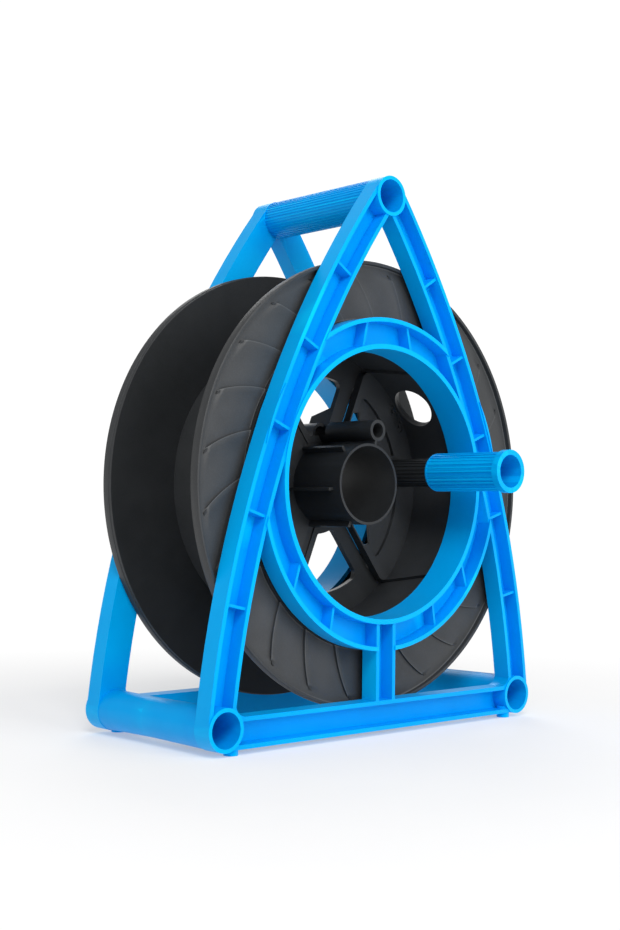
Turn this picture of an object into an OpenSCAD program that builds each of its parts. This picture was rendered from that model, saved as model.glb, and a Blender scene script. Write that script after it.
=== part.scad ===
// Fish tape reel: a 300 mm wire spool turning on a two-part triangular carrying stand.
// X runs along the base, Y from the crank side to the back, Z up.
// The origin is the middle of the spool's hub bore.

/* [Stand] */
// Distance between the axes of the two bottom corner tubes
base_w = 274; // [230:1:320]
// Height of the handle axis above the bottom tube axes
stand_h = 343; // [320:1:400]
// Height of the spool axis above the bottom tube axes
axis_h = 150; // [140:1:165]
// Outer radius of the corner tubes at the side frames
tube_r = 13.5; // [12:0.1:16]
// Bore radius of the corner tubes
tube_bore_r = 11; // [9:0.1:13]
// Outer radius of the corner tubes where they leave the side frames
tube_back_r = 13.2; // [12:0.1:15.5]
// Outer radius of the corner tubes where the two halves meet
tube_joint_r = 12.5; // [11.8:0.1:15]
// Y position of the joint between the two halves of each tube
tube_joint_y = 5; // [0:1:15]
// Radius of the outward bow of the legs
bow_r = 691; // [500:1:1200]
// Width of a leg across its channel
leg_w = 20; // [16:0.5:26]
// Height of the base bar
bar_h = 19.5; // [14:0.5:24]
// Wall thickness of the moulded channels
wall_t = 2.8; // [2:0.1:4]
// Thickness of the closed back of the channels
floor_t = 2.6; // [2:0.1:4]
// Thickness of the stiffening ribs inside the channels
rib_t = 1.8; // [1.2:0.1:3]
// How far the ribs stay below the channel lips
rib_drop = 1.5; // [0:0.1:4]
// How far the leg lips stay behind the tube ends
lip_set = 1; // [0:0.1:3]
// Overall depth of the stand from tube end to tube end
stand_d = 128; // [110:1:150]
// Half width of the centre post under the ring
post_half_w = 9; // [7:0.5:14]
// How far the feet reach below the bottom tubes
foot_drop = 2.5; // [1:0.1:6]

/* [Bearing ring] */
// Outer radius of the ring channel
ring_r = 110.7; // [104:0.1:118]
// Inner radius of the journal the spool turns on
journal_in_r = 89.8; // [84:0.1:95]
// Radial gap between the journal and the spool bore
journal_gap = 0.9; // [0.4:0.1:2]
// How far the journal reaches into the spool past the channel back
journal_reach = 10; // [6:0.5:16]

/* [Spool] */
// Outer radius of the flanges
flange_r = 150; // [140:1:155]
// Overall width of the spool
spool_w = 98; // [90:1:104]
// Axial gap between the spool and each side frame
side_gap = 1; // [0.5:0.1:3]
// Width of the flange rim
rim_w = 7.3; // [5:0.1:10]
// Radial thickness of the flange rim
rim_t = 1.8; // [1.2:0.1:4]
// Thickness of the flange plate
plate_t = 3.5; // [2.5:0.1:5]
// Bore radius of the flange collars that run on the journals
bearing_r = 94; // [88:0.1:99]
// Bore radius of the drum
drum_bore_r = 96.2; // [95:0.1:100]
// Wall thickness of the drum
drum_t = 2.2; // [1.8:0.1:5]
// Number of swirl ribs on each flange
swirl_n = 24; // [12:1:36]
// Height of the swirl ribs
swirl_h = 1.2; // [0.6:0.1:2]
// Width of the swirl ribs
swirl_t = 1.6; // [1:0.1:3]
// Turn of the spool about its axis at rest, in degrees
spool_turn = 7.4; // [0:0.1:60]

/* [Hub] */
// Outer radius of the hub tube
hub_r = 27.5; // [26:0.1:30]
// Radius of the hub bore
hub_bore_r = 25.75; // [24:0.05:28]
// Length of the hub tube
hub_len = 90.8; // [80:0.1:98]
// Y position of the front face of the spokes
web_y = 6.5; // [3:0.5:12]
// Thickness of the spokes
web_t = 4; // [3:0.1:6]
// Width of a spoke
spoke_w = 11.6; // [8:0.2:20]
// Inner radius of the spoke windows
window_in_r = 34.5; // [32:0.5:45]
// Outer radius of the spoke windows
window_out_r = 76.8; // [70:0.1:82]
// Distance of the windows' far edge from the line at 120 degrees to the crank
window_far = 14.5; // [8:0.5:20]
// Corner radius of the spoke windows
window_round = 5; // [2:0.5:8]
// Outer radius of the small drive tube
drive_r = 7.3; // [6:0.1:9]
// Bore radius of the small drive tube
drive_bore_r = 5; // [3:0.1:6]

/* [Crank] */
// Distance from the spool axis to the crank axis
crank_r = 66.5; // [60:0.5:72]
// Radius of the crank post
post_r = 10; // [8:0.1:12]
// Y position of the inner end of the grip
grip_in_y = -46.5; // [-55:0.5:-40]
// Y position of the outer end of the grip
grip_out_y = -114; // [-130:0.5:-95]
// Outer radius of the grip over its flutes
grip_r = 13.4; // [12:0.1:16]
// Distance of the crank plate's sides from the spoke middles
plate_side = 6.2; // [6:0.1:10]
// Radius of the pocket in the crank plate
pocket_r = 75.4; // [70:0.1:80]
// Depth of the pocket in the crank plate
pocket_deep = 2.5; // [1:0.1:4]
// Outer radius of the collar at the end of the grip
grip_collar_r = 14.6; // [13.5:0.1:17]
// Bore radius at the open end of the grip
grip_mouth_r = 11.1; // [9:0.1:13]

/* [Hidden] */
$fn = 120;
eps = 0.01;
foot_r = 4.5;
foot_in = 8.5;
foot_y = stand_d / 2 - 6;
back_y = spool_w / 2 + side_gap;
end_y = stand_d / 2;
lip_y = end_y - lip_set;
base_z = -axis_h;
apex_z = stand_h - axis_h;
half_w = base_w / 2;
bar_low = base_z - 12.6;
bar_top = bar_low + bar_h;
foot_z = base_z - tube_r - foot_drop;
// centre of the bow of the right leg: it wraps both corner tubes from outside
bow_touch = tube_r - 0.25;
span_l = sqrt(half_w * half_w + stand_h * stand_h);
bow_d = sqrt(pow(bow_r - bow_touch, 2) - span_l * span_l / 4);
bow_x = half_w / 2 - bow_d * stand_h / span_l;
bow_z = (base_z + apex_z) / 2 - bow_d * half_w / span_l;
leg_top_a = atan2(apex_z - bow_z, -bow_x);
leg_low_a = atan2(base_z - bow_z, half_w - bow_x);
fillet_r = 8;
fillet_in = 8;
leg_rib_a0 = 12.15;
leg_rib_step = 4.93;
leg_rib_n = 5;
// ribs of the ring channel: angle to either side of the centre line seen from the apex, start, length
ring_ribs = [[12.5, 60, 70], [9.8, 240, 90], [17.4, 215, 90]];
journal_r = bearing_r - journal_gap;
bulk_t = 4;
// the front bulkheads are thicker, with a sunk seat for washer and screw head
front_bulk_t = 8.8;
tie_seat_r = 6;
spigot_r = tube_bore_r - 0.25;
spigot_t = 2.2;
spigot_l = 5;
handle_core_r = 12.75;
handle_rib_w = 0.9;
handle_rib_n = 40;
tie_r = 2.5;
tie_hole_r = 2.8;
tie_head_r = 4.6;
tie_head_h = 3.4;
tie_washer_r = 5.4;
tie_washer_t = 1;
tie_nut_r = 4.6;
tie_nut_h = 4;
tie_end = 2;
tie_socket_r = 2.3;
tie_socket_deep = 2.2;
flange_in_y = spool_w / 2 - rim_w;
flange_plate_y = flange_in_y + plate_t;
drum_r = drum_bore_r + drum_t;
rim_step_w = 2.2;
rim_step = 0.5;
ledge_r = 108;
ledge_t = 3;
ledge_y = flange_in_y + ledge_t;
collar_r = 111;
collar_y = spool_w / 2 - 0.6;
flange_screw_n = 8;
flange_screw_at = 101.5;
fs_r = 2;
fs_head_r = 3.8;
fs_head_h = 1.8;
fs_slot_l = 4.2;
fs_slot_w = 0.9;
swirl_a0 = 10;
// circle that each swirl rib follows
swirl_x = 87.5;
swirl_z = 68.8;
swirl_r = 91.7;
swirl_end_r = 144;
cord_hole_r = 15.6;
cord_hole_y = -17.2;
cord_hole_a = 38;
web_back = web_y + web_t;
core_r = drum_bore_r;
web_rim_in_r = 79;
web_rib_t = 3;
web_rib_h = 6;
lip_w = 4.5;
lip_h = 1;
arm_t = 2.5;
arm_r = 77;
fin_t = 2;
fin_h = 4;
fin_len = 39;
drive_x = 8.2;
drive_z = 36.7;
drive_rib_t = 1.8;
// gusset on the back of the upper spoke
gusset_off = 3.5;
gusset_t = 2;
gusset_in = 30;
gusset_out = 58;
gusset_end = 51.5;
gusset_y = 28;
plate_in_r = 33;
plate_out_r = bearing_r - 0.1;
plate_round = 6;
plate_y = 0;
plate_floor_t = 2;
skirt_t = 2.4;
pocket_rim = 4.6;
pocket_round = 4;
slit_x = 44.5;
slit_z = 47.5;
slit_in = 22;
liner_r = drum_bore_r - 0.2;
liner_in_r = plate_out_r - 0.2;
liner_y = -39.5;
liner_a = 53.8;
liner_flare = 11.7;
crank_x = crank_r * cos(spool_turn + 1);
crank_z = crank_r * sin(spool_turn + 1);
plate_screw_at = 86;
plate_screw_a = [-42, -15, 15, 42];
ps_r = 1.75;
ps_head_r = 3.4;
ps_head_h = 2;
ps_len = 8;
plate_boss_r = 3.6;
floor_cover = 1.5;
post_base_r = 13;
post_base_t = 3;
post_core_r = post_r - 0.5;
post_end_y = -84;
post_neck_r = 5;
post_seat_r = 5.1;
post_seat_l = 4;
post_flutes = 24;
post_flute_w = 1.2;
grip_bulk_t = 4;
post_neck_y = post_end_y - grip_bulk_t - 0.4;
grip_bore_r = post_r + 0.35;
grip_core_r = grip_r - 0.5;
grip_end_w = 5;
grip_flutes = 30;
grip_flute_w = 1;
grip_nose = 3;
grip_bulk_y = post_end_y - 0.3;
pin_r = 2;
pin_bore_r = 1.6;
gw_r = 8;
gw_t = 1.2;
screw_head_r = 4.2;
screw_head_h = 2.8;
socket_r = 2;
socket_deep = 1.4;
post_washer_r = 6.5;
post_washer_t = 1;
post_pilot_l = 14;
neck_pilot_l = 12;
neck_play = 0.4;
clip_at = 88.5;
clip_a = 27;
clip_l = 22;
clip_w = 6;
clip_deep = 1.6;
clip_set = 0.4;
clip_hole_at = 6;
clip_hole_r = 1.6;
blue = [0.0, 0.56, 0.95];
black = [0.17, 0.175, 0.18];
steel = [0.72, 0.73, 0.74];

// ---------- helpers ----------

// a flat outline in X and Z, given thickness along Y from y0 to y1
module slab(y0, y1) {
  translate([0, y1, 0])
    rotate([90, 0, 0])
      linear_extrude(height = y1 - y0)
        children();
}

// a solid cylinder along Y from y0 to y1, with its axis at x, z
module rod(x, z, r, y0, y1) {
  translate([x, y1, z])
    rotate([90, 0, 0])
      cylinder(h = y1 - y0, r = r);
}

// a cone along Y, radius r0 at y0 and r1 at y1
module taper(x, z, r0, r1, y0, y1) {
  translate([x, y1, z])
    rotate([90, 0, 0])
      cylinder(h = y1 - y0, r1 = r1, r2 = r0);
}

module ring2d(ro, ri) {
  difference() {
    circle(r = ro);
    circle(r = ri);
  }
}

// a fluted circle: core radius with n small ridges reaching the outer radius
module fluted2d(core, outer, n, w) {
  circle(r = core);
  for (i = [0 : n - 1])
    rotate(i * 360 / n)
      translate([core - 1, -w / 2])
        square([outer - core + 1, w]);
}

// ---------- stand outlines, in X and Z ----------

// wedge that the right leg may fill, from the middle of one corner tube to the other
module leg_zone() {
  reach = 1.2 * bow_r;
  polygon([
    [bow_x, bow_z],
    [bow_x + reach * cos(leg_low_a), bow_z + reach * sin(leg_low_a)],
    [bow_x + reach * cos(leg_top_a), bow_z + reach * sin(leg_top_a)]
  ]);
}

// band of the right leg between two distances from its outer edge
module leg_band(d0, d1) {
  intersection() {
    translate([bow_x, bow_z])
      ring2d(bow_r - d0, bow_r - d1);
    leg_zone();
  }
}

module both() {
  children();
  mirror([1, 0])
    children();
}

module corners() {
  translate([-half_w, base_z])
    children();
  translate([half_w, base_z])
    children();
  translate([0, apex_z])
    children();
}

module bar2d(low, top) {
  translate([-half_w, low])
    square([base_w, top - low]);
}

// concave fillet between a leg and the base bar
module corner_fillet() {
  translate([half_w - fillet_in - fillet_r, bar_top - eps])
    difference() {
      square([fillet_r, fillet_r]);
      translate([0, fillet_r])
        circle(r = fillet_r);
    }
}

// closed back of the channels
module floor2d() {
  both()
    leg_band(0, leg_w);
  ring2d(ring_r, journal_in_r);
  bar2d(bar_low, bar_top);
  translate([-post_half_w, base_z])
    square([2 * post_half_w, axis_h - journal_in_r - 1]);
  both()
    corner_fillet();
}

// inside of the leg channels and the post, where the ring wall is left out
module ring_gap2d() {
  both()
    leg_band(wall_t / 2, leg_w - wall_t / 2);
  translate([-post_half_w + 1, -ring_r - tube_r])
    square([2 * post_half_w - 2, 2 * tube_r]);
}

module walls2d() {
  both()
    leg_band(0, wall_t);
  both()
    leg_band(leg_w - wall_t, leg_w);
  bar2d(bar_low, bar_low + wall_t);
  bar2d(bar_top - wall_t, bar_top);
  both()
    corner_fillet();
  for (s = [-1, 1])
    translate([s * (post_half_w - wall_t / 2) - wall_t / 2, bar_top - 1])
      square([wall_t, -journal_in_r - 1.5 - bar_top + 1]);
}

module ring_wall2d() {
  difference() {
    ring2d(ring_r, ring_r - wall_t);
    ring_gap2d();
  }
}

// cross ribs inside a leg, square to the bow
module leg_ribs2d() {
  intersection() {
    leg_band(1, leg_w - 1);
    translate([bow_x, bow_z])
      for (i = [0 : leg_rib_n - 1])
        rotate(leg_rib_a0 + i * leg_rib_step)
          translate([bow_r - leg_w - 2, -rib_t / 2])
            square([leg_w + 4, rib_t]);
  }
}

// ribs inside the ring channel, all pointing at the apex
module ring_ribs2d() {
  difference() {
    intersection() {
      ring2d(ring_r - 1, journal_in_r + 1);
      translate([0, apex_z])
        for (rib = ring_ribs)
          for (s = [-1, 1])
            rotate(-90 + s * rib[0])
              translate([rib[1], -rib_t / 2])
                square([rib[2], rib_t]);
    }
    both()
      leg_band(0, leg_w - 1);
  }
}

// ---------- side frames ----------

module side_frame() {
  difference() {
    union() {
      slab(-back_y - floor_t, -back_y)
        floor2d();
      slab(-lip_y, -back_y)
        walls2d();
      slab(-end_y, -back_y)
        ring_wall2d();
      slab(-lip_y + rib_drop, -back_y)
        union() {
          both()
            leg_ribs2d();
          ring_ribs2d();
        }
      slab(-end_y, -back_y + journal_reach)
        ring2d(journal_r, journal_in_r);
      slab(-end_y, -back_y)
        corners()
          circle(r = tube_r);
      for (s = [-1, 1])
        translate([s * (half_w - foot_in), -foot_y, foot_z])
          cylinder(h = 8, r = foot_r);
    }
    // tube bores
    slab(-end_y - 1, -back_y + 1)
      corners()
        circle(r = tube_bore_r);
    // mouth of the journal
    slab(-end_y - 1, -back_y + journal_reach + 1)
      circle(r = journal_in_r);
  }
}

// one corner tube wall from the frame back to the joint, open bore with a bulkhead
module tube_wall(x, z, y0, y1) {
  difference() {
    taper(x, z, tube_back_r, tube_joint_r, y0, y1);
    rod(x, z, tube_bore_r, y0 - 1, y1 + 1);
  }
}

module handle_wall(y0, y1) {
  translate([0, y1, apex_z])
    rotate([90, 0, 0])
      linear_extrude(height = y1 - y0)
        difference() {
          fluted2d(handle_core_r, tube_back_r, handle_rib_n, handle_rib_w);
          circle(r = tube_bore_r);
        }
}

module front_frame() {
  color(blue)
    union() {
      side_frame();
      for (s = [-1, 1])
        tube_wall(s * half_w, base_z, -back_y - 1, tube_joint_y);
      handle_wall(-back_y - 1, tube_joint_y);
      difference() {
        slab(-front_bulk_t, 0)
          corners()
            circle(r = tube_bore_r + 0.4);
        slab(-front_bulk_t - 1, -bulk_t)
          corners()
            circle(r = tie_seat_r);
        slab(-bulk_t - 1, 1)
          corners()
            circle(r = tie_hole_r);
      }
    }
}

module rear_frame() {
  color(blue)
    union() {
      mirror([0, 1, 0])
        side_frame();
      for (s = [-1, 1])
        difference() {
          taper(s * half_w, base_z, tube_joint_r, tube_back_r, tube_joint_y, back_y + 1);
          rod(s * half_w, base_z, tube_bore_r, tube_joint_y - 1, back_y + 2);
        }
      handle_wall(tube_joint_y, back_y + 1);
      // spigots that enter the front half tubes, closed by a bulkhead
      difference() {
        slab(0, tube_joint_y + spigot_l)
          corners()
            circle(r = spigot_r);
        slab(bulk_t, tube_joint_y + spigot_l + 1)
          corners()
            circle(r = spigot_r - spigot_t);
        slab(-1, bulk_t + 1)
          corners()
            circle(r = tie_hole_r);
      }
      slab(tube_joint_y, tube_joint_y + spigot_l)
        corners()
          ring2d(tube_bore_r + 0.4, spigot_r - 0.4);
    }
}

// ---------- stand fasteners ----------

module tie_screws() {
  color(steel)
    difference() {
      union() {
        slab(-bulk_t - tie_washer_t - tie_head_h, -bulk_t - tie_washer_t)
          corners()
            circle(r = tie_head_r);
        slab(-bulk_t - tie_washer_t - eps, bulk_t + tie_nut_h + tie_end)
          corners()
            circle(r = tie_r);
      }
      slab(-bulk_t - tie_washer_t - tie_head_h - 1, -bulk_t - tie_washer_t - tie_head_h + tie_socket_deep)
        corners()
          circle(r = tie_socket_r, $fn = 6);
    }
}

module tie_washers() {
  color(steel)
    slab(-bulk_t - tie_washer_t, -bulk_t)
      corners()
        ring2d(tie_washer_r, tie_r + 0.2);
}

module tie_nuts() {
  color(steel)
    slab(bulk_t, bulk_t + tie_nut_h)
      corners()
        difference() {
          circle(r = tie_nut_r, $fn = 6);
          circle(r = tie_r);
        }
}

// ---------- spool ----------

module flange_screw_places(r) {
  for (i = [0 : flange_screw_n - 1])
    rotate(spool_turn + i * 360 / flange_screw_n)
      translate([flange_screw_at, 0])
        circle(r = r);
}

module swirl2d() {
  intersection() {
    ring2d(swirl_end_r, collar_r - 1);
    for (i = [0 : swirl_n - 1])
      rotate(swirl_a0 + i * 360 / swirl_n)
        translate([swirl_x, swirl_z])
          intersection() {
            ring2d(swirl_r + swirl_t / 2, swirl_r - swirl_t / 2);
            translate([0, -swirl_r - 5])
              square([swirl_r, swirl_r]);
          }
  }
}

// flange as it stands on the crank side
module flange() {
  difference() {
    union() {
      slab(-flange_plate_y, -flange_in_y)
        circle(r = flange_r - 1);
      slab(-spool_w / 2, -flange_in_y - rim_step_w)
        ring2d(flange_r, flange_r - rim_t);
      slab(-flange_in_y - rim_step_w - eps, -flange_in_y)
        ring2d(flange_r - rim_step, flange_r - rim_t);
      slab(-collar_y, -flange_in_y)
        circle(r = collar_r);
      slab(-flange_plate_y - swirl_h, -flange_plate_y + eps)
        swirl2d();
    }
    slab(-spool_w / 2 - 1, -flange_in_y + 1)
      circle(r = bearing_r);
    slab(-ledge_y, -flange_in_y + 1)
      circle(r = ledge_r + 0.1);
    slab(-collar_y - 1, -collar_y + fs_head_h + 0.2)
      flange_screw_places(fs_head_r + 0.2);
    slab(-collar_y - 1, -flange_in_y)
      flange_screw_places(fs_r + 0.2);
  }
}

module front_flange() {
  color(black)
    flange();
}

module rear_flange() {
  color(black)
    mirror([0, 1, 0])
      flange();
}

module flange_screws() {
  slab(-collar_y + 0.2, -collar_y + fs_head_h + 0.2)
    difference() {
      flange_screw_places(fs_head_r);
      for (i = [0 : flange_screw_n - 1])
        rotate(spool_turn + i * 360 / flange_screw_n)
          translate([flange_screw_at, 0])
            square([fs_slot_l, fs_slot_w], center = true);
    }
  slab(-collar_y + fs_head_h + 0.1, -flange_in_y - 0.1)
    flange_screw_places(fs_r);
}

module front_flange_screws() {
  color(steel)
    flange_screws();
}

module rear_flange_screws() {
  color(steel)
    mirror([0, 1, 0])
      flange_screws();
}

// tape entry hole through the drum wall
module cord_hole() {
  translate([0, cord_hole_y, 0])
    rotate([0, 90 - cord_hole_a, 0])
      translate([0, 0, drum_bore_r - cord_hole_r])
        cylinder(h = 2 * cord_hole_r, r = cord_hole_r);
}

module drum() {
  color(black)
    difference() {
      slab(-ledge_y, ledge_y)
        ring2d(drum_r, drum_bore_r);
      cord_hole();
    }
}

// rings at both ends of the drum that take the flange screws
module drum_rings() {
  color(black)
    for (m = [0, 1])
      mirror([0, m, 0])
        slab(-ledge_y, -flange_in_y)
          difference() {
            ring2d(ledge_r, drum_r);
            flange_screw_places(fs_r);
          }
}

// ---------- hub core ----------

// everything in the hub is drawn with the crank at zero degrees, then turned
module turned() {
  rotate(spool_turn)
    children();
}

module mirrored() {
  children();
  mirror([0, 1])
    children();
}

// half plane beyond a line at distance w from the spoke at angle a, on its far side
module beyond(a, w) {
  rotate(a)
    translate([-flange_r, w])
      square([2 * flange_r, flange_r]);
}

// half plane before a line at distance w from the line at angle a, on its near side
module before(a, w) {
  rotate(a)
    translate([-flange_r, -flange_r - w])
      square([2 * flange_r, flange_r]);
}

// quad that takes off the corner between a straight edge at distance w and a circle of radius r
module corner_cut(w, r, round, side) {
  cv = w + round;
  cu = sqrt(pow(r - side * round, 2) - cv * cv);
  pu = sqrt(r * r - w * w);
  k = r / (r - side * round);
  polygon([[cu, cv], [cu, w], [pu + 4 * side, w - 1], [cu * k, cv * k]]);
}

// circle that rounds the same corner
module corner_round(w, r, round, side) {
  cv = w + round;
  translate([sqrt(pow(r - side * round, 2) - cv * cv), cv])
    circle(r = round);
}

// window between the spoke at 60 degrees and the raised arm
module window2d() {
  difference() {
    intersection() {
      ring2d(window_out_r, window_in_r);
      beyond(60, spoke_w / 2);
      before(120, window_far);
    }
    rotate(60) {
      corner_cut(spoke_w / 2, window_out_r, window_round, 1);
      corner_cut(spoke_w / 2, window_in_r, window_round, -1);
    }
    rotate(120)
      mirror([0, 1]) {
        corner_cut(window_far, window_out_r, window_round, 1);
        corner_cut(window_far, window_in_r, window_round, -1);
      }
  }
  rotate(60) {
    corner_round(spoke_w / 2, window_out_r, window_round, 1);
    corner_round(spoke_w / 2, window_in_r, window_round, -1);
  }
  rotate(120)
    mirror([0, 1]) {
      corner_round(window_far, window_out_r, window_round, 1);
      corner_round(window_far, window_in_r, window_round, -1);
    }
}

// low lip along the hub side and the far side of a window
module window_lip2d() {
  intersection() {
    ring2d(window_in_r, window_in_r - lip_w);
    beyond(60, -spoke_w / 2);
    before(120, window_far - lip_w);
  }
  intersection() {
    ring2d(window_out_r, window_in_r - lip_w);
    beyond(60, spoke_w / 2);
    before(120, window_far - lip_w);
    rotate(120)
      translate([0, -window_far])
        square([flange_r, lip_w]);
  }
}

// opening in the web under the crank plate
module crank_opening2d() {
  intersection() {
    ring2d(web_rim_in_r, window_in_r + lip_w);
    before(60, spoke_w / 2);
    mirror([0, 1])
      before(60, spoke_w / 2);
    translate([0, -flange_r])
      square([flange_r, 2 * flange_r]);
  }
}

// raised arm opposite the crank, less a margin on its two sides
module arm2d(inset) {
  intersection() {
    ring2d(arm_r - inset, hub_r - 1 + 3 * inset);
    beyond(120, inset);
    mirror([0, 1])
      beyond(120, inset);
  }
}

module hub_core() {
  color(black)
    difference() {
      union() {
        slab(-hub_len / 2, hub_len / 2)
          circle(r = hub_r);
        slab(web_y, web_back)
          circle(r = core_r);
        slab(web_y - lip_h, web_y + eps)
          turned()
            mirrored()
              window_lip2d();
        slab(plate_y, web_y + eps)
          turned()
            arm2d(0);
        // stiffening edge round the back of the web
        slab(web_back - eps, web_back + web_rib_h)
          ring2d(core_r, core_r - web_rib_t);
        slab(-fin_len, fin_len)
          for (i = [0 : 5])
            rotate(spool_turn + i * 60)
              translate([hub_r - 1, -fin_t / 2])
                square([fin_h + 1, fin_t]);
        // small drive tube and the rib that carries it
        rod(drive_x, drive_z, drive_r, -hub_len / 2, hub_len / 2);
        slab(-hub_len / 2, hub_len / 2)
          rotate(atan2(drive_z, drive_x))
            translate([hub_r - 1, -drive_rib_t / 2])
              square([norm([drive_x, drive_z]) - drive_r - hub_r + 2, drive_rib_t]);
        // gusset on the back of the upper spoke
        rotate([0, -spool_turn - 60, 0])
          translate([0, 0, gusset_off])
            linear_extrude(height = gusset_t)
              polygon([
                [gusset_in, web_back - 1],
                [gusset_out, web_back - 1],
                [gusset_end, gusset_y],
                [gusset_in, gusset_y]
              ]);
      }
      slab(-hub_len / 2 - 1, hub_len / 2 + 1)
        circle(r = hub_bore_r);
      rod(drive_x, drive_z, drive_bore_r, -hub_len / 2 - 1, hub_len / 2 + 1);
      slab(plate_y - 1, web_back + 1)
        turned()
          mirrored()
            window2d();
      slab(web_y - 1, web_back + 1)
        turned()
          crank_opening2d();
      // hollow of the raised arm, open at the back
      slab(plate_y + arm_t, web_back + 1)
        turned()
          arm2d(arm_t);
      slab(web_y - 1, web_back + 1)
        plate_screw_places(ps_r + 0.2);
    }
}

// ---------- crank ----------

// area between the two spokes beside the crank, less a margin on its sides
module plate2d(r0, r1, side) {
  intersection() {
    ring2d(r1, r0);
    before(60, side);
    mirror([0, 1])
      before(60, side);
    translate([0, -flange_r])
      square([flange_r, 2 * flange_r]);
  }
}

// the same area with its two outer corners rounded
module rounded_plate2d(r0, r1, side, round) {
  difference() {
    plate2d(r0, r1, side);
    mirrored()
      rotate(60)
        mirror([0, 1])
          corner_cut(side, r1, round, 1);
  }
  mirrored()
    rotate(60)
      mirror([0, 1])
        corner_round(side, r1, round, 1);
}

module plate_screw_places(r) {
  rotate(spool_turn)
    for (a = plate_screw_a)
      rotate(a)
        translate([plate_screw_at, 0])
          circle(r = r);
}

module clip2d(grow) {
  rotate(spool_turn + clip_a)
    translate([clip_at, 0])
      union() {
        square([clip_w + grow, clip_l - clip_w], center = true);
        for (s = [-1, 1])
          translate([0, s * (clip_l - clip_w) / 2])
            circle(r = (clip_w + grow) / 2);
      }
}

// liner of the drum bore on the crank's side, wider towards the front
module liner() {
  difference() {
    slab(liner_y, web_y)
      turned()
        intersection() {
          ring2d(liner_r, liner_in_r);
          translate([0, -flange_r])
            square([flange_r, 2 * flange_r]);
        }
    for (s = [-1, 1])
      rotate([0, -spool_turn - s * liner_a, 0])
        rotate([s * liner_flare, 0, 0])
          translate([0, -flange_r, s > 0 ? 0 : -flange_r])
            cube([flange_r, 2 * flange_r, flange_r]);
  }
}

module crank_plate() {
  color(black)
    difference() {
      union() {
        slab(plate_y, plate_y + pocket_deep + plate_floor_t)
          turned()
            rounded_plate2d(plate_in_r, plate_out_r, plate_side, plate_round);
        slab(plate_y + pocket_deep, web_y)
          turned()
            difference() {
              rounded_plate2d(plate_in_r, plate_out_r, plate_side, plate_round);
              plate2d(plate_in_r + skirt_t, plate_out_r - skirt_t, plate_side + skirt_t);
            }
        slab(plate_y + pocket_deep, web_y) {
          plate_screw_places(plate_boss_r);
          translate([crank_x, crank_z])
            circle(r = post_base_r - 1);
        }
        slab(plate_y, web_y)
          translate([crank_x, crank_z])
            circle(r = post_base_r - 1);
        liner();
      }
      // pocket in the front, round the crank post
      slab(plate_y - 1, plate_y + pocket_deep)
        difference() {
          turned()
            rounded_plate2d(plate_in_r - 1, pocket_r, plate_side + pocket_rim, pocket_round);
          translate([crank_x, crank_z])
            circle(r = post_base_r - 1);
        }
      // slits beside the hub
      slab(plate_y - 1, web_y + 1)
        turned()
          mirrored()
            intersection() {
              plate2d(plate_in_r - 2, pocket_r, plate_side + skirt_t / 2);
              translate([0, slit_in])
                square([slit_x, slit_z - slit_in]);
            }
      // seat of the crank post and its screw
      rod(crank_x, crank_z, post_seat_r, plate_y - 1, plate_y + post_seat_l);
      rod(crank_x, crank_z, pin_r + 0.3, plate_y, web_y + 1);
      slab(plate_y + floor_cover, web_y + 1)
        plate_screw_places(ps_r);
      // slot for the clip
      slab(plate_y - 1, plate_y + clip_deep)
        clip2d(0.6);
      cord_hole();
    }
}

module plate_screws() {
  color(steel)
    union() {
      slab(web_back, web_back + ps_head_h)
        plate_screw_places(ps_head_r);
      slab(web_back - ps_len, web_back + eps)
        plate_screw_places(ps_r);
    }
}

module plate_clip() {
  color(black)
    slab(plate_y + clip_set, plate_y + clip_deep)
      difference() {
        clip2d(0);
        rotate(spool_turn + clip_a)
          for (s = [-1, 1])
            translate([clip_at, s * clip_hole_at])
              circle(r = clip_hole_r);
      }
}

module crank_post() {
  color(black)
    difference() {
      union() {
        translate([crank_x, plate_y, crank_z])
          rotate([90, 0, 0])
            linear_extrude(height = plate_y - post_end_y)
              fluted2d(post_core_r, post_r, post_flutes, post_flute_w);
        rod(crank_x, crank_z, post_base_r, plate_y - post_base_t, plate_y);
        rod(crank_x, crank_z, post_seat_r - 0.1, plate_y - eps, plate_y + post_seat_l);
        rod(crank_x, crank_z, post_neck_r, post_neck_y, post_end_y + eps);
      }
      rod(crank_x, crank_z, pin_r, plate_y - post_pilot_l, plate_y + post_seat_l + 1);
      rod(crank_x, crank_z, pin_r, post_neck_y - 1, post_end_y + neck_pilot_l);
    }
}

module post_screw() {
  color(steel)
    difference() {
      union() {
        rod(crank_x, crank_z, pin_r, plate_y - post_pilot_l + 2, web_y + post_washer_t + eps);
        rod(crank_x, crank_z, screw_head_r, web_y + post_washer_t, web_y + post_washer_t + screw_head_h);
      }
      translate([crank_x, web_y + post_washer_t + screw_head_h - socket_deep, crank_z])
        rotate([-90, 0, 0])
          cylinder(h = 2 * socket_deep, r = socket_r, $fn = 6);
    }
}

module post_washer() {
  color(steel)
    translate([crank_x, 0, crank_z])
      slab(web_y, web_y + post_washer_t)
        ring2d(post_washer_r, pin_r + 0.2);
}

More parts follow.
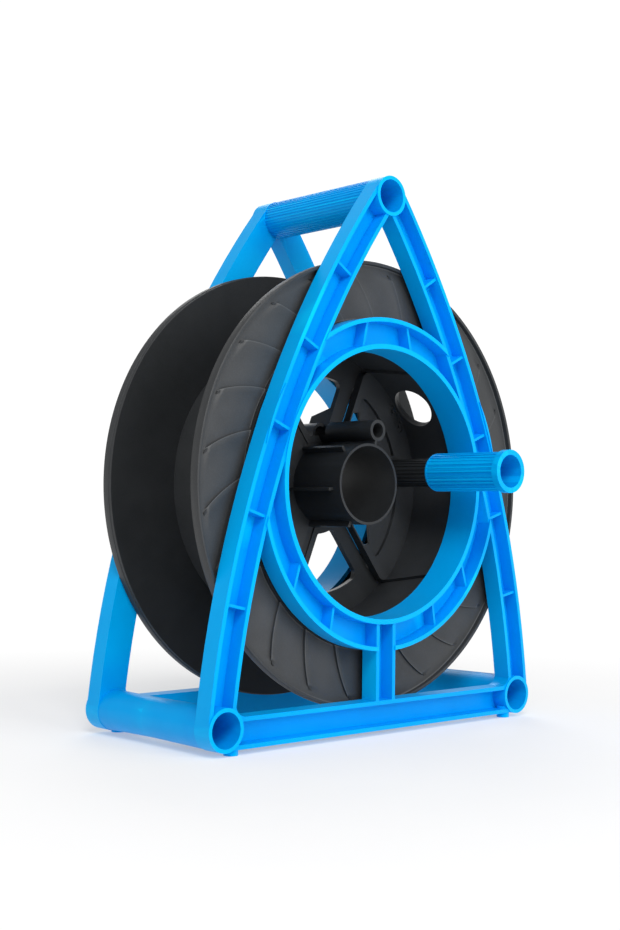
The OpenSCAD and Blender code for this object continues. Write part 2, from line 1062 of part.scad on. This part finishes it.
module crank_grip() {
  color(blue)
    translate([crank_x, 0, crank_z])
      difference() {
        union() {
          slab(grip_out_y + grip_end_w - eps, grip_in_y - grip_nose)
            fluted2d(grip_core_r, grip_r, grip_flutes, grip_flute_w);
          slab(grip_out_y, grip_out_y + grip_end_w)
            circle(r = grip_collar_r);
          translate([0, grip_in_y, 0])
            rotate([90, 0, 0])
              rotate_extrude()
                union() {
                  square([grip_r - grip_nose, grip_nose + eps]);
                  translate([grip_r - grip_nose, grip_nose])
                    intersection() {
                      circle(r = grip_nose);
                      translate([0, -grip_nose])
                        square([grip_nose, grip_nose]);
                    }
                }
        }
        slab(grip_bulk_y, grip_in_y + 1)
          circle(r = grip_bore_r);
        slab(grip_out_y - 1, grip_bulk_y - grip_bulk_t + 0.3)
          circle(r = grip_mouth_r);
        slab(grip_bulk_y - grip_bulk_t - 1, grip_bulk_y + 1)
          circle(r = post_neck_r + neck_play);
      }
}

module grip_washer() {
  color(steel)
    translate([crank_x, 0, crank_z])
      slab(post_neck_y - gw_t, post_neck_y)
        ring2d(gw_r, pin_r + 0.2);
}

module grip_screw() {
  color(steel)
    difference() {
      union() {
        rod(crank_x, crank_z, pin_r, post_neck_y - gw_t - eps, post_end_y + neck_pilot_l - 2);
        rod(crank_x, crank_z, screw_head_r, post_neck_y - gw_t - screw_head_h, post_neck_y - gw_t);
      }
      translate([crank_x, post_neck_y - gw_t - screw_head_h + socket_deep, crank_z])
        rotate([90, 0, 0])
          cylinder(h = 2 * socket_deep, r = socket_r, $fn = 6);
    }
}

front_frame();
rear_frame();
tie_screws();
tie_washers();
tie_nuts();
front_flange();
rear_flange();
drum();
drum_rings();
hub_core();
front_flange_screws();
rear_flange_screws();
crank_plate();
plate_screws();
plate_clip();
crank_post();
post_screw();
post_washer();
crank_grip();
grip_screw();
grip_washer();
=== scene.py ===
import math

import bmesh
import bpy
from mathutils import Matrix, Vector


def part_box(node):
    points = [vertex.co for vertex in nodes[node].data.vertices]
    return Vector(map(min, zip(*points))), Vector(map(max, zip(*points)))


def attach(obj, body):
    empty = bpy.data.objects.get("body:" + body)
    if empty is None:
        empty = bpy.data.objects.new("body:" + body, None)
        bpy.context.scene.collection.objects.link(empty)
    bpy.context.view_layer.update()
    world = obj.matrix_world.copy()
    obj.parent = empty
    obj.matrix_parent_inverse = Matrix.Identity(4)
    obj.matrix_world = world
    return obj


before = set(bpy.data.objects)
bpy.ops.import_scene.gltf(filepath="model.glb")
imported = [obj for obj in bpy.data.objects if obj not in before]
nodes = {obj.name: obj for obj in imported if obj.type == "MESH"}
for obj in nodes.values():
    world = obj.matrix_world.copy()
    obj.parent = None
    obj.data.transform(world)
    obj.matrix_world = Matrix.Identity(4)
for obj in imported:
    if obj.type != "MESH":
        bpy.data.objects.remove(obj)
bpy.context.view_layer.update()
scene = bpy.context.scene


# ---------- camera ----------

YAW = math.radians(43.069)
PITCH = math.radians(-2.0605)
ROLL = math.radians(0.731)
CAMERA_AT = Vector((-0.66656, -0.70004, -0.02122))
LENS_MM = 53.58


def make_camera():
    """Camera at the photo's angle: yaw to the right, a slight look upward, and a small roll."""
    data = bpy.data.cameras.new("camera")
    data.sensor_fit = "AUTO"
    data.sensor_width = 36
    data.lens = LENS_MM
    data.clip_start = 0.02
    data.clip_end = 60
    cam = bpy.data.objects.new("camera", data)
    scene.collection.objects.link(cam)
    fwd = Vector((
        math.sin(YAW) * math.cos(PITCH),
        math.cos(YAW) * math.cos(PITCH),
        -math.sin(PITCH),
    ))
    right = Vector((math.cos(YAW), -math.sin(YAW), 0))
    up = right.cross(fwd)
    side = right * math.cos(ROLL) + up * math.sin(ROLL)
    top = up * math.cos(ROLL) - right * math.sin(ROLL)
    turn = Matrix((side, top, -fwd)).transposed()
    cam.matrix_world = Matrix.Translation(CAMERA_AT) @ turn.to_4x4()
    scene.camera = cam


make_camera()


# ---------- material tools ----------

class Nodes:
    """Small helper that builds one node material."""

    def __init__(self, name):
        self.mat = bpy.data.materials.new(name)
        self.mat.use_nodes = True
        self.tree = self.mat.node_tree
        self.tree.nodes.clear()
        self.out = self.add("ShaderNodeOutputMaterial")
        self.bsdf = self.add("ShaderNodeBsdfPrincipled")
        self.link(self.bsdf.outputs[0], self.out.inputs["Surface"])
        self.coord = self.add("ShaderNodeTexCoord").outputs["Object"]

    def add(self, kind, **values):
        node = self.tree.nodes.new(kind)
        for key, value in values.items():
            setattr(node, key, value)
        return node

    def link(self, a, b):
        self.tree.links.new(a, b)

    def mapped(self, scale, rotation=(0, 0, 0)):
        m = self.add("ShaderNodeMapping")
        m.inputs["Scale"].default_value = scale
        m.inputs["Rotation"].default_value = rotation
        self.link(self.coord, m.inputs["Vector"])
        return m.outputs[0]

    def noise(self, scale, detail=3, rough=0.55, vector=None):
        n = self.add("ShaderNodeTexNoise")
        n.inputs["Scale"].default_value = scale
        n.inputs["Detail"].default_value = detail
        n.inputs["Roughness"].default_value = rough
        self.link(vector or self.coord, n.inputs["Vector"])
        return n.outputs["Fac"]

    def ramp(self, value, stops):
        r = self.add("ShaderNodeValToRGB")
        while len(r.color_ramp.elements) < len(stops):
            r.color_ramp.elements.new(0.5)
        for e, (pos, col) in zip(r.color_ramp.elements, stops):
            e.position = pos
            e.color = (*col, 1)
        self.link(value, r.inputs["Fac"])
        return r.outputs["Color"]

    def math(self, op, a, b):
        m = self.add("ShaderNodeMath", operation=op)
        for i, v in enumerate((a, b)):
            if isinstance(v, (int, float)):
                m.inputs[i].default_value = v
            else:
                self.link(v, m.inputs[i])
        return m.outputs[0]

    def mix(self, fac, a, b):
        m = self.add("ShaderNodeMix", data_type="RGBA")
        for sock, v in ((m.inputs[0], fac), (m.inputs[6], a), (m.inputs[7], b)):
            if isinstance(v, (int, float)):
                sock.default_value = v
            elif isinstance(v, tuple):
                sock.default_value = (*v, 1)
            else:
                self.link(v, sock)
        return m.outputs[2]

    def span(self, value, low, high, to_low, to_high):
        m = self.add("ShaderNodeMapRange", clamp=True)
        for i, v in enumerate((low, high, to_low, to_high)):
            m.inputs[i + 1].default_value = v
        self.link(value, m.inputs[0])
        return m.outputs[0]

    def bump(self, height, strength, distance, normal=None):
        b = self.add("ShaderNodeBump")
        b.inputs["Strength"].default_value = strength
        b.inputs["Distance"].default_value = distance
        self.link(height, b.inputs["Height"])
        if normal is not None:
            self.link(normal, b.inputs["Normal"])
        return b.outputs[0]


def moulded_plastic(
    name, deep, mid, light, painted_edge_highlight, rough, grain, specular, tint=(1, 1, 1), edges=0.7,
):
    """Moulded plastic: faint flow marks, fine spark-eroded grain, handling scuffs and paler edges.

    deep, mid and light are the tones of the flow marks, and edges says how far the painted edge highlight
    covers the sharp edges. On a mesh with few vertices it covers whole faces, so the black CAD parts keep
    it low.
    """
    n = Nodes(name)
    flow = n.noise(9, 4, 0.6, n.mapped((1, 0.35, 1)))
    fine = n.noise(70, 3)
    base = n.ramp(flow, [(0.3, deep), (0.55, mid), (0.8, light)])
    base = n.mix(n.span(fine, 0.35, 0.7, 0.0, 0.2), base, light)
    speck = n.noise(1500, 2, 0.6)
    base = n.mix(n.span(speck, 0.45, 0.75, 0.0, grain * 0.5), base, light)
    scuff = n.noise(38, 6, 0.7, n.mapped((1, 6, 1.4), (0.3, 0.5, 0.2)))
    scuff = n.span(scuff, 0.66, 0.78, 0.0, 1.0)
    base = n.mix(n.math("MULTIPLY", scuff, 0.15), base, light)
    # Painted highlight: where Pointiness is high on convex edges, the colour turns to the painted edge
    # highlight tone.
    edge = n.add("ShaderNodeNewGeometry").outputs["Pointiness"]
    edge = n.span(edge, 0.51, 0.58, 0.0, edges)
    base = n.mix(edge, base, painted_edge_highlight)
    n.link(base, n.bsdf.inputs["Base Color"])
    rough_in = n.span(n.noise(24, 4), 0.3, 0.7, rough - 0.05, rough + 0.06)
    rough_in = n.math("ADD", rough_in, n.math("MULTIPLY", scuff, 0.1))
    n.link(rough_in, n.bsdf.inputs["Roughness"])
    spark = n.noise(2600, 2, 0.5)
    low = n.noise(60, 2, 0.5)
    bump = n.bump(low, 0.25, 0.0004)
    bump = n.bump(spark, grain, 0.00006, bump)
    n.link(bump, n.bsdf.inputs["Normal"])
    n.bsdf.inputs["Specular IOR Level"].default_value = specular
    n.bsdf.inputs["Specular Tint"].default_value = (*tint, 1)
    return n.mat


def plated_steel(name):
    """Zinc-plated steel with a slightly cloudy shine."""
    n = Nodes(name)
    n.bsdf.inputs["Metallic"].default_value = 1
    base = n.ramp(n.noise(120, 4), [(0.3, (0.5, 0.51, 0.52)), (0.7, (0.72, 0.73, 0.74))])
    n.link(base, n.bsdf.inputs["Base Color"])
    n.link(n.span(n.noise(400, 3), 0.3, 0.7, 0.25, 0.42), n.bsdf.inputs["Roughness"])
    n.link(n.bump(n.noise(900, 3), 0.2, 0.00005), n.bsdf.inputs["Normal"])
    return n.mat


# In each call the fifth colour is the painted edge highlight tone.
BLUE = moulded_plastic(
    "blue_plastic", (0.0, 0.31, 0.78), (0.0, 0.355, 0.86), (0.0, 0.41, 0.93), (0.0, 0.56, 1.0),
    0.36, 0.2, 0.25, (0.0, 0.6, 1.0),
)
GRIP_BLUE = moulded_plastic(
    "grip_blue_plastic", (0.0, 0.27, 0.70), (0.0, 0.315, 0.78), (0.0, 0.38, 0.88), (0.0, 0.52, 1.0),
    0.4, 0.25, 0.25, (0.0, 0.6, 1.0),
)
FACE_BLACK = moulded_plastic(
    "black_face_plastic", (0.026, 0.028, 0.030), (0.034, 0.036, 0.038), (0.062, 0.065, 0.068),
    (0.20, 0.21, 0.215), 0.5, 0.8, 0.45,
)
BLACK = moulded_plastic(
    "black_plastic", (0.021, 0.023, 0.025), (0.027, 0.029, 0.031), (0.050, 0.053, 0.056),
    (0.10, 0.105, 0.11), 0.48, 0.8, 0.4, edges=0.04,
)
# Darker copy of the black plastic for the hub, the crank post and the flange bodies: painted shade in its
# tones.
SHADED_BLACK = moulded_plastic(
    "black_plastic_painted_shade", (0.010, 0.0115, 0.0125), (0.014, 0.0155, 0.017), (0.030, 0.032, 0.034),
    (0.10, 0.105, 0.11), 0.45, 0.7, 0.4, edges=0.06,
)
# Darker, duller copy of the black plastic for the drum rings and the flanges' inner faces: painted shade
# in its tones.
INNER_SHADED_BLACK = moulded_plastic(
    "black_inner_plastic_painted_shade", (0.011, 0.0125, 0.0135), (0.0145, 0.016, 0.0175), (0.027, 0.029, 0.031),
    (0.10, 0.105, 0.11), 0.55, 0.8, 0.25, edges=0.02,
)
STEEL = plated_steel("plated_steel")


# ---------- materials and rounded edges of the CAD parts ----------

FRAME_ROUND = 0.0005
HUB_ROUND = 0.00035
SMALL_ROUND = 0.0002

# The hub, the crank post, the flange bodies and the drum rings take the darker copies of the black
# plastic, with painted shade.
FINISH = {
    "front_frame": BLUE,
    "rear_frame": BLUE,
    "crank_grip": GRIP_BLUE,
    "hub_core": SHADED_BLACK,
    "crank_post": SHADED_BLACK,
    "front_flange": SHADED_BLACK,
    "rear_flange": SHADED_BLACK,
    "drum_rings": INNER_SHADED_BLACK,
}
for part in (
    "tie_screws", "tie_washers", "tie_nuts", "front_flange_screws",
    "rear_flange_screws", "plate_screws", "post_screw", "post_washer",
    "grip_screw", "grip_washer",
):
    FINISH[part] = STEEL
for part in nodes:
    FINISH.setdefault(part, BLACK)


def round_edges(obj, width):
    """Small moulded round on every sharp edge, by modifiers only."""
    weld = obj.modifiers.new("weld", "WELD")
    weld.merge_threshold = 0.00001
    bevel = obj.modifiers.new("rounded", "BEVEL")
    bevel.width = width
    bevel.segments = 2
    bevel.limit_method = "ANGLE"
    bevel.angle_limit = math.radians(30)
    bevel.use_clamp_overlap = True
    bevel.harden_normals = False
    normal = obj.modifiers.new("normals", "WEIGHTED_NORMAL")
    normal.keep_sharp = True


for part, obj in nodes.items():
    obj.data.materials.clear()
    obj.data.materials.append(FINISH[part])
for part in ("front_frame", "rear_frame"):
    round_edges(nodes[part], FRAME_ROUND)
round_edges(nodes["hub_core"], HUB_ROUND)
for part in ("crank_post", "crank_grip", "plate_clip"):
    round_edges(nodes[part], SMALL_ROUND)


# ---------- rims and swirled faces of the flanges ----------

RIM_R = 0.1501
RIM_IN = 0.148
RIM_OUT_Y = 0.0491
RIM_STEP_Y = 0.0438
RIM_IN_Y = 0.0416
RIM_LIP = 0.0005
RIM_ROUND = 0.00015
LATHE_STEPS = 360


def add_object(name, bm, material):
    """New object from a bmesh, with one material."""
    mesh = bpy.data.meshes.new(name)
    bm.to_mesh(mesh)
    bm.free()
    mesh.materials.append(material)
    obj = bpy.data.objects.new(name, mesh)
    scene.collection.objects.link(obj)
    return obj


def add_spool_skin(name, bm, material, sharp_degrees):
    """Smooth-shaded object from a bmesh, which rides on the spool."""
    bmesh.ops.recalc_face_normals(bm, faces=bm.faces)
    obj = add_object(name, bm, material)
    for face in obj.data.polygons:
        face.use_smooth = True
    obj.data.set_sharp_from_angle(angle=math.radians(sharp_degrees))
    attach(obj, "spool")
    return obj


def lathe(name, profile, side, material):
    """Ring turned about the spool axis from a closed outline of radius and distance from the middle."""
    bm = bmesh.new()
    rows = []
    for i in range(LATHE_STEPS):
        a = i * math.tau / LATHE_STEPS
        c, s = math.cos(a), math.sin(a)
        rows.append([bm.verts.new((r * c, side * y, r * s)) for r, y in profile])
    n = len(profile)
    for i in range(LATHE_STEPS):
        here, there = rows[i], rows[(i + 1) % LATHE_STEPS]
        for k in range(n):
            j = (k + 1) % n
            bm.faces.new((here[k], here[j], there[j], there[k]))
    add_spool_skin(name, bm, material, 50)


CORNER_PULL = 0.29


def rounded(points, radius):
    """Outline with every corner replaced by three points of a small round."""
    out = []
    n = len(points)
    for i, p in enumerate(points):
        p = Vector(p)
        back = (Vector(points[i - 1]) - p).normalized()
        ahead = (Vector(points[(i + 1) % n]) - p).normalized()
        middle = p + (back + ahead) * radius * CORNER_PULL
        out += [p + back * radius, middle, p + ahead * radius]
    return [(q.x, q.y) for q in out]


RIM_OUTLINE = rounded([
    (RIM_IN, RIM_OUT_Y),
    (RIM_R, RIM_OUT_Y),
    (RIM_R, RIM_STEP_Y),
    (RIM_R - RIM_LIP, RIM_STEP_Y),
    (RIM_R - RIM_LIP, RIM_IN_Y),
    (RIM_IN, RIM_IN_Y),
], RIM_ROUND)
INNER_FACE_R = (0.0984, 0.1492)
INNER_FACE_Y = (0.0415, 0.0418)
INNER_FACE = [
    (INNER_FACE_R[0], INNER_FACE_Y[0]),
    (INNER_FACE_R[1], INNER_FACE_Y[0]),
    (INNER_FACE_R[1], INNER_FACE_Y[1]),
    (INNER_FACE_R[0], INNER_FACE_Y[1]),
]

# Each swirl line is an arc of radius SWIRL_R round a point SWIRL_AT off the spool axis.
SWIRLS = 24
SWIRL_START = math.radians(9.3)
SWIRL_AT = (0.0875, 0.0688)
SWIRL_R = 0.0917
FACE_IN = 0.1105
FACE_OUT = 0.1481
FACE_RINGS = 36
FACE_SINK = 0.0002
# Where one panel is cut, as shares of its width from its line to the next one.
PANEL_CUTS = [
    0.0, 0.012, 0.05, 0.09, 0.14, 0.2, 0.28, 0.37,
    0.47, 0.58, 0.7, 0.8, 0.87, 0.93, 0.97, 0.995,
]
PLATE_Y = 0.0452
LEVEL = 0.00055
CREST = 0.0016
DIP = 0.00012
LINE_END = 0.1435
LINE_FADE = 0.003
FALL_FROM = 0.09
FALL_SPAN = 0.4
DIP_FROM = 0.8


def swirl_angle(r):
    """Angle at which one swirl line crosses the circle of radius r."""
    d = math.hypot(*SWIRL_AT)
    to_centre = math.atan2(SWIRL_AT[1], SWIRL_AT[0])
    c = (r * r + d * d - SWIRL_R * SWIRL_R) / (2 * r * d)
    return to_centre - math.acos(max(-1.0, min(1.0, c)))


def swirl_height(t, r):
    """Height over the plate: a crisp edge on each line, a long soft fall, then a dip before the next."""
    fade = max(0.0, min(1.0, (LINE_END - r) / LINE_FADE))
    fade = fade * fade * (3 - 2 * fade)
    fall = max(0.0, 1 - max(0.0, t - FALL_FROM) / FALL_SPAN)
    dip = max(0.0, (t - DIP_FROM) / (1 - DIP_FROM))
    rise = (CREST - LEVEL) * fall * fall - (LEVEL - DIP) * dip * dip
    return LEVEL + fade * rise


def swirl_face(name, side):
    """Ring of shallow overlapping panels moulded on the outside of one flange."""
    bm = bmesh.new()
    outer, inner = [], []
    for k in range(FACE_RINGS + 1):
        r = FACE_IN + (FACE_OUT - FACE_IN) * k / FACE_RINGS
        base = SWIRL_START + swirl_angle(r)
        top, low = [], []
        for i in range(SWIRLS):
            for t in PANEL_CUTS:
                a = base + (i + t) * math.tau / SWIRLS
                rise = swirl_height(t, r)
                x, z = r * math.cos(a), r * math.sin(a)
                top.append(bm.verts.new((x, side * (PLATE_Y + rise), z)))
                low.append(bm.verts.new((x, side * (PLATE_Y - FACE_SINK), z)))
        outer.append(top)
        inner.append(low)
    n = len(outer[0])
    for k in range(FACE_RINGS):
        for i in range(n):
            j = (i + 1) % n
            bm.faces.new((outer[k][i], outer[k][j], outer[k + 1][j], outer[k + 1][i]))
            bm.faces.new((inner[k][i], inner[k + 1][i], inner[k + 1][j], inner[k][j]))
    for i in range(n):
        j = (i + 1) % n
        bm.faces.new((outer[0][j], outer[0][i], inner[0][i], inner[0][j]))
        bm.faces.new((outer[-1][i], outer[-1][j], inner[-1][j], inner[-1][i]))
    obj = add_spool_skin(name, bm, FACE_BLACK, 28)
    obj.modifiers.new("normals", "WEIGHTED_NORMAL").keep_sharp = True


for end, way in (("front", -1), ("rear", 1)):
    swirl_face(f"{end}_flange_face", way)
    lathe(f"{end}_flange_rim", RIM_OUTLINE, way, BLACK)
    lathe(f"{end}_flange_inner_face", INNER_FACE, way, INNER_SHADED_BLACK)


# ---------- floor and light ----------

WHITE = (1, 1, 1, 1)
FLOOR_SIZE = 20
FLOOR_GAP = 0.0001
FLOOR_GLOW = 1.02
SHADE_FROM = 0.26
SHADE_TO = 0.6
LIGHT_ON_OBJECT = 0.46
BACKDROP = 1.05


def make_floor():
    """Pale floor that brightens into the white backdrop away from the object."""
    n = Nodes("floor_card")
    tone = n.ramp(n.noise(3, 3), [(0.3, (0.93, 0.93, 0.935)), (0.7, (0.96, 0.96, 0.96))])
    n.link(tone, n.bsdf.inputs["Base Color"])
    n.link(n.span(n.noise(40, 3), 0.3, 0.7, 0.7, 0.85), n.bsdf.inputs["Roughness"])
    n.bsdf.inputs["Specular IOR Level"].default_value = 0.2
    away = n.add("ShaderNodeVectorMath", operation="LENGTH")
    n.link(n.coord, away.inputs[0])
    fade = n.span(away.outputs["Value"], SHADE_FROM, SHADE_TO, 0.35, 1.0)
    glow = n.add("ShaderNodeEmission")
    glow.inputs["Strength"].default_value = FLOOR_GLOW
    join = n.add("ShaderNodeMixShader")
    n.link(fade, join.inputs[0])
    n.link(n.bsdf.outputs[0], join.inputs[1])
    n.link(glow.outputs[0], join.inputs[2])
    n.link(join.outputs[0], n.out.inputs["Surface"])
    bm = bmesh.new()
    bmesh.ops.create_grid(bm, x_segments=8, y_segments=8, size=FLOOR_SIZE)
    floor = add_object("floor", bm, n.mat)
    floor.location.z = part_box("front_frame")[0].z - FLOOR_GAP


def area_light(name, at, size, power):
    """Round white lamp that looks at the spool's middle."""
    data = bpy.data.lights.new(name, "AREA")
    data.shape = "DISK"
    data.size = size
    data.energy = power
    lamp = bpy.data.objects.new(name, data)
    lamp.location = at
    lamp.rotation_mode = "QUATERNION"
    lamp.rotation_quaternion = (-Vector(at)).to_track_quat("-Z", "Y")
    scene.collection.objects.link(lamp)


def make_light():
    """White world, brighter to the camera than to the object, and three lamps."""
    world = bpy.data.worlds.new("studio")
    scene.world = world
    world.use_nodes = True
    tree = world.node_tree
    tree.nodes.clear()
    out = tree.nodes.new("ShaderNodeOutputWorld")
    soft = tree.nodes.new("ShaderNodeBackground")
    soft.inputs["Color"].default_value = WHITE
    soft.inputs["Strength"].default_value = LIGHT_ON_OBJECT
    seen = tree.nodes.new("ShaderNodeBackground")
    seen.inputs["Color"].default_value = WHITE
    seen.inputs["Strength"].default_value = BACKDROP
    path = tree.nodes.new("ShaderNodeLightPath")
    mix = tree.nodes.new("ShaderNodeMixShader")
    tree.links.new(path.outputs["Is Camera Ray"], mix.inputs[0])
    tree.links.new(soft.outputs[0], mix.inputs[1])
    tree.links.new(seen.outputs[0], mix.inputs[2])
    tree.links.new(mix.outputs[0], out.inputs[0])
    area_light("key", (-1.1, -1.4, 1.6), 1.0, 27)
    area_light("front", (0.2, -2.0, 0.6), 1.4, 21)
    area_light("back", (1.2, 1.6, 1.4), 1.4, 12)


make_floor()
make_light()
scene.view_settings.view_transform = "Standard"
scene.view_settings.look = "None"
